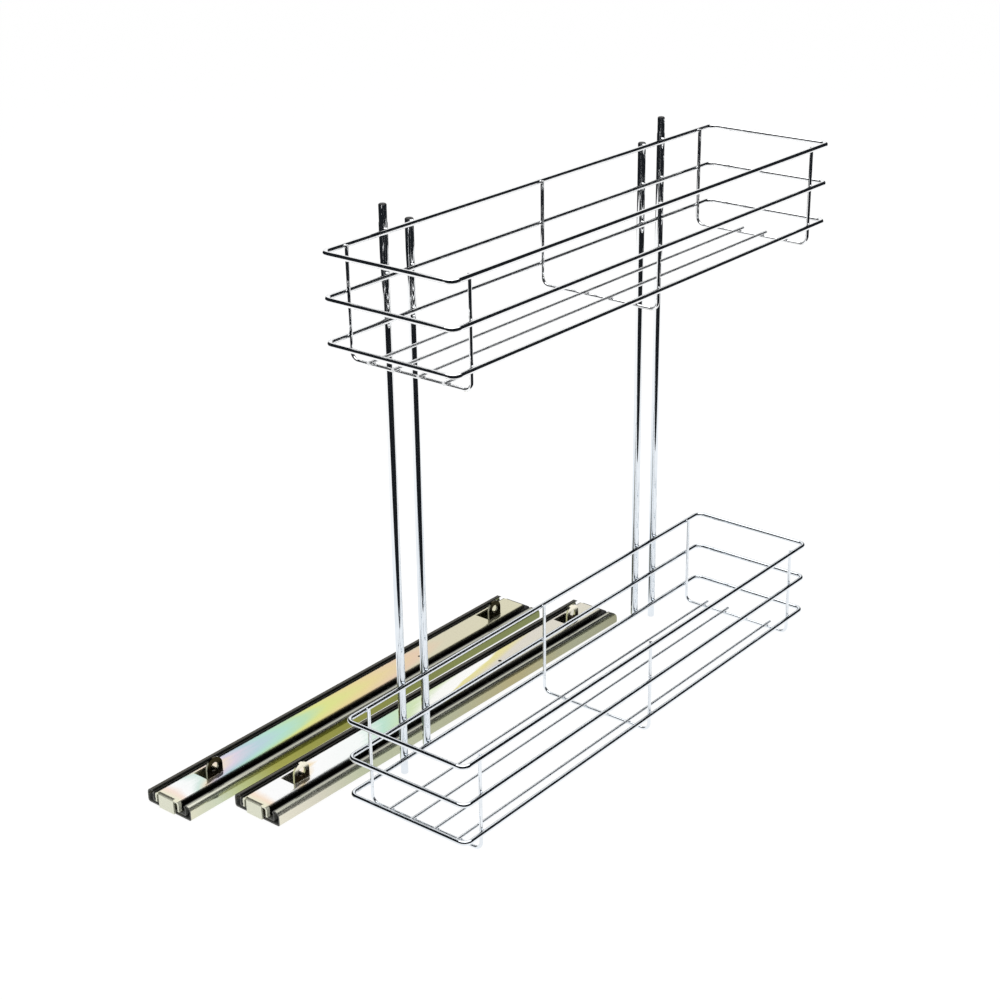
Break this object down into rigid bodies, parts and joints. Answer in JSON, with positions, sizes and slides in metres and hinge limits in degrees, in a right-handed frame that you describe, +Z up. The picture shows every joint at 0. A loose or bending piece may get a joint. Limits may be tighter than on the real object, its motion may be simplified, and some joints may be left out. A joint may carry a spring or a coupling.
{
  "type": "pull out cabinet basket",
  "caption": "Tall narrow pull-out cabinet basket: welded chrome wire tiers on upright rods, with a pair of telescopic ball-bearing runners lying beside it.",
  "frame": {"origin": "on the floor, under the middle of the box round the whole set", "axes": "+Z up, +Y from the front of the basket to its rear along the runners, +X across, from the runners towards the basket"},
  "size_m": [0.2372, 0.5262, 0.4305],
  "materials": {
    "chromed_wire": "bright chrome on welded steel wire",
    "chromed_rod": "bright chrome on steel rod",
    "yellow_zinc_steel": "satin zinc plate, yellow passivated",
    "yellow_zinc_face": "satin zinc plate with a faint rainbow sheen",
    "cage_steel": "plain zinc plate",
    "ball_steel": "polished hardened steel",
    "buffer_rubber": "matte black rubber"
  },
  "bodies": {
    "basket_and_channels": {"lower_bottom_rail": "chromed_wire", "lower_middle_rail": "chromed_wire", "lower_top_rail": "chromed_wire", "upper_bottom_rail": "chromed_wire", "upper_middle_rail": "chromed_wire", "upper_top_rail": "chromed_wire", "lower_front_leg": "chromed_wire", "lower_centre_leg": "chromed_wire", "lower_rear_leg": "chromed_wire", "upper_front_leg": "chromed_wire", "upper_centre_leg": "chromed_wire", "upper_rear_leg": "chromed_wire", "lower_floor_wire_1": "chromed_wire", "lower_floor_wire_2": "chromed_wire", "lower_floor_wire_3": "chromed_wire", "lower_floor_wire_4": "chromed_wire", "upper_floor_wire_1": "chromed_wire", "upper_floor_wire_2": "chromed_wire", "upper_floor_wire_3": "chromed_wire", "upper_floor_wire_4": "chromed_wire", "front_outer_rod": "chromed_rod", "front_inner_rod": "chromed_rod", "rear_inner_rod": "chromed_rod", "rear_outer_rod": "chromed_rod", "left_channel": "yellow_zinc_steel", "left_rear_buffer": "buffer_rubber", "right_channel": "yellow_zinc_steel", "right_rear_buffer": "buffer_rubber"},
    "left_middle": {"left_middle_member": "yellow_zinc_steel"},
    "left_drawer": {"left_drawer_member": "yellow_zinc_face"},
    "left_outer_race": {"left_outer_cage": "cage_steel", "left_outer_balls": "ball_steel"},
    "left_inner_race": {"left_inner_cage": "cage_steel", "left_inner_balls": "ball_steel"},
    "right_middle": {"right_middle_member": "yellow_zinc_steel"},
    "right_drawer": {"right_drawer_member": "yellow_zinc_face"},
    "right_outer_race": {"right_outer_cage": "cage_steel", "right_outer_balls": "ball_steel"},
    "right_inner_race": {"right_inner_cage": "cage_steel", "right_inner_balls": "ball_steel"}
  },
  "joints": [
    {"name": "left_middle_slide", "type": "slide", "parent": "basket_and_channels", "child": "left_middle", "axis": [-0.0105, -0.9999, 0], "range_m": [0, 0.2]},
    {"name": "left_drawer_slide", "type": "slide", "parent": "left_middle", "child": "left_drawer", "axis": [-0.0105, -0.9999, 0], "range_m": [0, 0.2]},
    {"name": "left_outer_race_roll", "type": "slide", "parent": "basket_and_channels", "child": "left_outer_race", "axis": [-0.0105, -0.9999, 0], "range_m": [0, 0.1]},
    {"name": "left_inner_race_roll", "type": "slide", "parent": "left_middle", "child": "left_inner_race", "axis": [-0.0105, -0.9999, 0], "range_m": [0, 0.1]},
    {"name": "right_middle_slide", "type": "slide", "parent": "basket_and_channels", "child": "right_middle", "axis": [-0.0175, -0.9998, 0], "range_m": [0, 0.2]},
    {"name": "right_drawer_slide", "type": "slide", "parent": "right_middle", "child": "right_drawer", "axis": [-0.0175, -0.9998, 0], "range_m": [0, 0.2]},
    {"name": "right_outer_race_roll", "type": "slide", "parent": "basket_and_channels", "child": "right_outer_race", "axis": [-0.0175, -0.9998, 0], "range_m": [0, 0.1]},
    {"name": "right_inner_race_roll", "type": "slide", "parent": "right_middle", "child": "right_inner_race", "axis": [-0.0175, -0.9998, 0], "range_m": [0, 0.1]}
  ],
  "couplings": [
    {"joint": "left_outer_race_roll", "follows": "left_middle_slide", "ratio": 0.5},
    {"joint": "left_inner_race_roll", "follows": "left_drawer_slide", "ratio": 0.5},
    {"joint": "right_outer_race_roll", "follows": "right_middle_slide", "ratio": 0.5},
    {"joint": "right_inner_race_roll", "follows": "right_drawer_slide", "ratio": 0.5}
  ]
}
